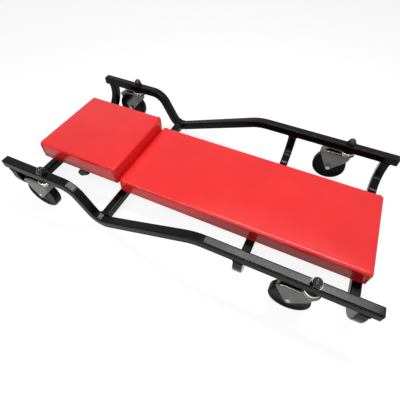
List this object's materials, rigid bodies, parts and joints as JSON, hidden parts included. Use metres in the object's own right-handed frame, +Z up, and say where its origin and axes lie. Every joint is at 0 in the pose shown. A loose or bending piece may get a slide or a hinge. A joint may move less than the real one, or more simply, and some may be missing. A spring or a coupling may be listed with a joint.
{
  "type": "mechanic creeper",
  "caption": "Low padded work board with a separate tilting headrest, held between two bent side rails on swivel casters.",
  "frame": {"origin": "on the floor, midway along the rails and midway between them", "axes": "+X from the head end to the foot end, +Y to the left of a person who lies face up with the head at -X, +Z up"},
  "size_m": [1.028, 0.535, 0.1666],
  "materials": {
    "frame_paint": "black textured powder coat",
    "black_plastic": "moulded, matte",
    "plywood": "raw, sawn edges",
    "foam": "open cell foam",
    "red_vinyl": "red vinyl, satin sheen",
    "zinc_steel": "zinc plated",
    "plated_steel": "bright zinc plate on stamped sheet",
    "black_nuts": "black oxide",
    "wheel_plastic": "moulded, satin black",
    "tyre_rubber": "smooth black"
  },
  "bodies": {
    "frame": {"near_rail": "frame_paint", "far_rail": "frame_paint", "head_cross_bar": "frame_paint", "neck_cross_bar": "frame_paint", "middle_cross_bar": "frame_paint", "foot_cross_bar": "frame_paint", "near_headrest_carrier": "frame_paint", "far_headrest_carrier": "frame_paint", "near_pivot_saddle": "frame_paint", "far_pivot_saddle": "frame_paint", "rail_end_caps": "black_plastic", "main_board": "plywood", "main_foam": "foam", "main_cover": "red_vinyl", "board_screws": "zinc_steel", "pivot_bolt": "zinc_steel", "pivot_washers": "zinc_steel", "caster_stems": "zinc_steel", "race_caps": "plated_steel", "bearing_balls": "plated_steel", "stem_washers": "black_nuts", "dome_nuts": "black_nuts"},
    "headrest": {"headrest_board": "plywood", "headrest_foam": "foam", "headrest_cover": "red_vinyl", "near_headrest_bracket": "frame_paint", "far_headrest_bracket": "frame_paint", "bracket_screws": "zinc_steel"},
    "lever": {"clamp_lever": "black_plastic"},
    "near_head_caster": {"near_head_fork": "plated_steel", "near_head_axle_bolt": "zinc_steel", "near_head_axle_nut": "zinc_steel", "near_head_axle_sleeve": "zinc_steel"},
    "near_head_roller": {"near_head_wheel": "wheel_plastic", "near_head_tyre": "tyre_rubber"},
    "far_head_caster": {"far_head_fork": "plated_steel", "far_head_axle_bolt": "zinc_steel", "far_head_axle_nut": "zinc_steel", "far_head_axle_sleeve": "zinc_steel"},
    "far_head_roller": {"far_head_wheel": "wheel_plastic", "far_head_tyre": "tyre_rubber"},
    "near_foot_caster": {"near_foot_fork": "plated_steel", "near_foot_axle_bolt": "zinc_steel", "near_foot_axle_nut": "zinc_steel", "near_foot_axle_sleeve": "zinc_steel"},
    "near_foot_roller": {"near_foot_wheel": "wheel_plastic", "near_foot_tyre": "tyre_rubber"},
    "far_foot_caster": {"far_foot_fork": "plated_steel", "far_foot_axle_bolt": "zinc_steel", "far_foot_axle_nut": "zinc_steel", "far_foot_axle_sleeve": "zinc_steel"},
    "far_foot_roller": {"far_foot_wheel": "wheel_plastic", "far_foot_tyre": "tyre_rubber"}
  },
  "joints": [
    {"name": "headrest_tilt", "type": "hinge", "parent": "frame", "child": "headrest", "pos_m": [-0.3435, 0, 0.057], "axis": [0, 1, 0], "range_deg": [-8, 8]},
    {"name": "clamp_lever_turn", "type": "hinge", "parent": "frame", "child": "lever", "pos_m": [-0.3435, 0, 0.057], "axis": [0, 1, 0], "range_deg": [-70, 0]},
    {"name": "near_head_swivel", "type": "hinge", "parent": "frame", "child": "near_head_caster", "pos_m": [-0.374, -0.2445, 0.116], "axis": [0, 0, 1], "continuous": true},
    {"name": "near_head_roll", "type": "hinge", "parent": "near_head_caster", "child": "near_head_roller", "pos_m": [-0.4094, -0.2445, 0.0508], "axis": [0, 1, 0], "continuous": true},
    {"name": "far_head_swivel", "type": "hinge", "parent": "frame", "child": "far_head_caster", "pos_m": [-0.374, 0.2445, 0.116], "axis": [0, 0, 1], "continuous": true},
    {"name": "far_head_roll", "type": "hinge", "parent": "far_head_caster", "child": "far_head_roller", "pos_m": [-0.4094, 0.2445, 0.0508], "axis": [0, 1, 0], "continuous": true},
    {"name": "near_foot_swivel", "type": "hinge", "parent": "frame", "child": "near_foot_caster", "pos_m": [0.374, -0.2445, 0.116], "axis": [0, 0, 1], "continuous": true},
    {"name": "near_foot_roll", "type": "hinge", "parent": "near_foot_caster", "child": "near_foot_roller", "pos_m": [0.3386, -0.2445, 0.0508], "axis": [0, 1, 0], "continuous": true},
    {"name": "far_foot_swivel", "type": "hinge", "parent": "frame", "child": "far_foot_caster", "pos_m": [0.374, 0.2445, 0.116], "axis": [0, 0, 1], "continuous": true},
    {"name": "far_foot_roll", "type": "hinge", "parent": "far_foot_caster", "child": "far_foot_roller", "pos_m": [0.3386, 0.2445, 0.0508], "axis": [0, 1, 0], "continuous": true}
  ]
}
